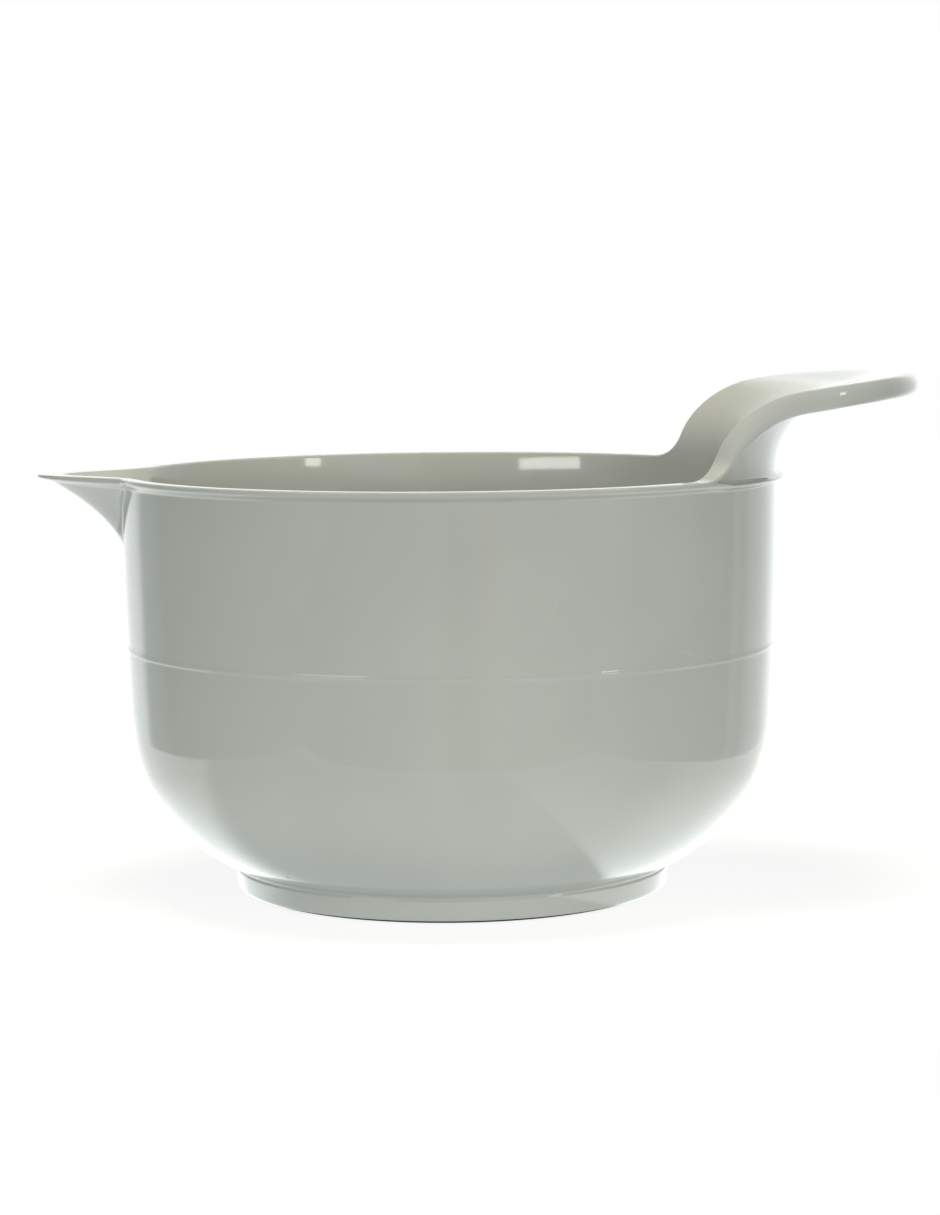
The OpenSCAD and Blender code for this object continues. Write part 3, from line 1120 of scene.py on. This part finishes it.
# %% The room: plain white for the camera, even light for colours, bands for the gloss
room_light = 0.30
ground_light = 0.55
room_tint = (0.95, 1.0, 0.98, 1.0)
room_bands = (
    (-180, 1.06, 1.10, 1.08),
    (-143, 1.52, 1.58, 1.60),
    (-137, 0.69, 0.73, 0.71),
    (-123, 0.50, 0.54, 0.51),
    (-121, 0.36, 0.38, 0.35),
    (-38, 0.30, 0.32, 0.29),
    (-35, 0.44, 0.48, 0.42),
    (-10, 0.48, 0.52, 0.46),
    (-8, 0.70, 0.58, 0.48),
    (-4, 0.70, 0.58, 0.48),
    (-3, 0.34, 0.42, 0.34),
    (8, 0.34, 0.42, 0.34),
    (10, 0.78, 0.64, 0.52),
    (16, 0.78, 0.64, 0.52),
    (18, 0.62, 0.74, 0.66),
    (24, 0.62, 0.74, 0.66),
    (25, 0.48, 0.56, 0.50),
    (26, 0.66, 0.78, 0.70),
    (47, 0.66, 0.78, 0.70),
    (48, 0.48, 0.56, 0.50),
    (49, 0.68, 0.78, 0.70),
    (62, 0.68, 0.78, 0.70),
    (66, 0.54, 0.62, 0.56),
    (92, 0.50, 0.58, 0.53),
    (94, 0.40, 0.47, 0.43),
    (115, 0.40, 0.47, 0.43),
    (117, 0.72, 0.76, 0.74),
    (121, 0.72, 0.76, 0.74),
    (123, 0.57, 0.62, 0.59),
    (130, 0.92, 0.96, 0.95),
    (156, 1.42, 1.46, 1.48),
    (180, 1.06, 1.10, 1.08),
)
roof_from, roof_to = 0.30, 0.62
roof_tone = (0.34, 0.35, 0.34, 1.0)
ground_from, ground_to = 0.02, -0.08

world = bpy.data.worlds.new("studio")
scene.world = world
world.use_nodes = True
room = world.node_tree
room.nodes.clear()
way = add_node(room, "ShaderNodeSeparateXYZ")
front = add_node(room, "ShaderNodeMath", operation="MULTIPLY")
front.inputs[1].default_value = -1.0
bearing = add_node(room, "ShaderNodeMath", operation="ARCTAN2")
bearing_share = add_node(room, "ShaderNodeMapRange")
bearing_share.inputs["From Min"].default_value = -math.pi
bearing_share.inputs["From Max"].default_value = math.pi
bands = add_node(room, "ShaderNodeValToRGB")
while len(bands.color_ramp.elements) < len(room_bands):
    bands.color_ramp.elements.new(1.0)
for stop, (degrees, *tone) in zip(bands.color_ramp.elements, room_bands):
    stop.position = (degrees + 180) / 360
    stop.color = (*tone, 1.0)
join(
    room,
    (add_node(room, "ShaderNodeTexCoord").outputs["Generated"], way.inputs["Vector"]),
    (way.outputs["Y"], front.inputs[0]),
    (way.outputs["X"], bearing.inputs[0]),
    (front.outputs["Value"], bearing.inputs[1]),
    (bearing.outputs["Value"], bearing_share.inputs["Value"]),
    (bearing_share.outputs["Result"], bands.inputs["Fac"]),
)
roof = add_node(room, "ShaderNodeMix", data_type="RGBA")
roof.inputs[7].default_value = roof_tone
join(
    room,
    (soft_step(room, way.outputs["Z"], roof_from, roof_to), roof.inputs[0]),
    (bands.outputs["Color"], roof.inputs[6]),
)

path = add_node(room, "ShaderNodeLightPath")
plain = add_node(room, "ShaderNodeBackground")
plain.inputs["Color"].default_value = room_tint
down = add_node(room, "ShaderNodeMix", data_type="FLOAT")
down.inputs[2].default_value, down.inputs[3].default_value = room_light, ground_light
join(
    room,
    (soft_step(room, way.outputs["Z"], ground_from, ground_to), down.inputs[0]),
    (down.outputs[0], plain.inputs["Strength"]),
)
mirrored_room = add_node(room, "ShaderNodeBackground")
white = add_node(room, "ShaderNodeBackground")
white.inputs["Color"].default_value = plain_white
gloss_mix = add_node(room, "ShaderNodeMixShader")
camera_mix = add_node(room, "ShaderNodeMixShader")
clear_or_camera = add_node(room, "ShaderNodeMath", operation="MAXIMUM")
room_out = add_node(room, "ShaderNodeOutputWorld")
join(
    room,
    (roof.outputs[2], mirrored_room.inputs["Color"]),
    (path.outputs["Is Glossy Ray"], gloss_mix.inputs[0]),
    (plain.outputs[0], gloss_mix.inputs[1]),
    (mirrored_room.outputs[0], gloss_mix.inputs[2]),
    (path.outputs["Is Camera Ray"], clear_or_camera.inputs[0]),
    (path.outputs["Is Transmission Ray"], clear_or_camera.inputs[1]),
    (clear_or_camera.outputs["Value"], camera_mix.inputs[0]),
    (gloss_mix.outputs[0], camera_mix.inputs[1]),
    (white.outputs[0], camera_mix.inputs[2]),
    (camera_mix.outputs[0], room_out.inputs["Surface"]),
)
print("room bands:", len(room_bands))

# %% Lamps: key, fill and top light the colours, two small windows show inside the rim
bowl_middle = (0, 0, 0.08)
window_tint = (1.0, 1.0, 0.93)


def soft_lamp(name, place, aim, size, brightness, tint, mirrored=True):
    """A rectangular lamp of an even brightness; its power is pi x area x brightness."""
    lamp_data = bpy.data.lights.new(name, "AREA")
    lamp_data.shape = "RECTANGLE"
    lamp_data.size, lamp_data.size_y = size
    lamp_data.energy = math.pi * size[0] * size[1] * brightness
    lamp_data.color = tint
    lamp = bpy.data.objects.new(name, lamp_data)
    turn = (Vector(aim) - Vector(place)).to_track_quat("-Z", "Y")
    lamp.matrix_world = Matrix.Translation(place) @ turn.to_matrix().to_4x4()
    lamp.visible_camera = False
    lamp.visible_glossy = mirrored
    scene.collection.objects.link(lamp)
    return lamp


soft_lamp("key", (0.78, -1.45, 0.55), bowl_middle, (1.3, 0.8), 3.9, (1.0, 0.915, 0.83), mirrored=False)
soft_lamp("fill", (-0.95, -1.3, 0.5), bowl_middle, (1.0, 0.8), 1.8, (1.0, 0.97, 0.92), mirrored=False)
soft_lamp("top", (0.0, -0.02, 0.95), (0, 0.03, 0.1), (0.5, 0.4), 12.0, (1.0, 0.90, 0.74), mirrored=False)
soft_lamp("window_left", (-0.74, -0.83, 0.316), (0.03, 0.09, 0.12), (0.5, 0.115), 8.0, window_tint)
soft_lamp("window_right", (0.91, -0.65, 0.340), (0.04, 0.09, 0.12), (0.13, 0.17), 8.0, window_tint)
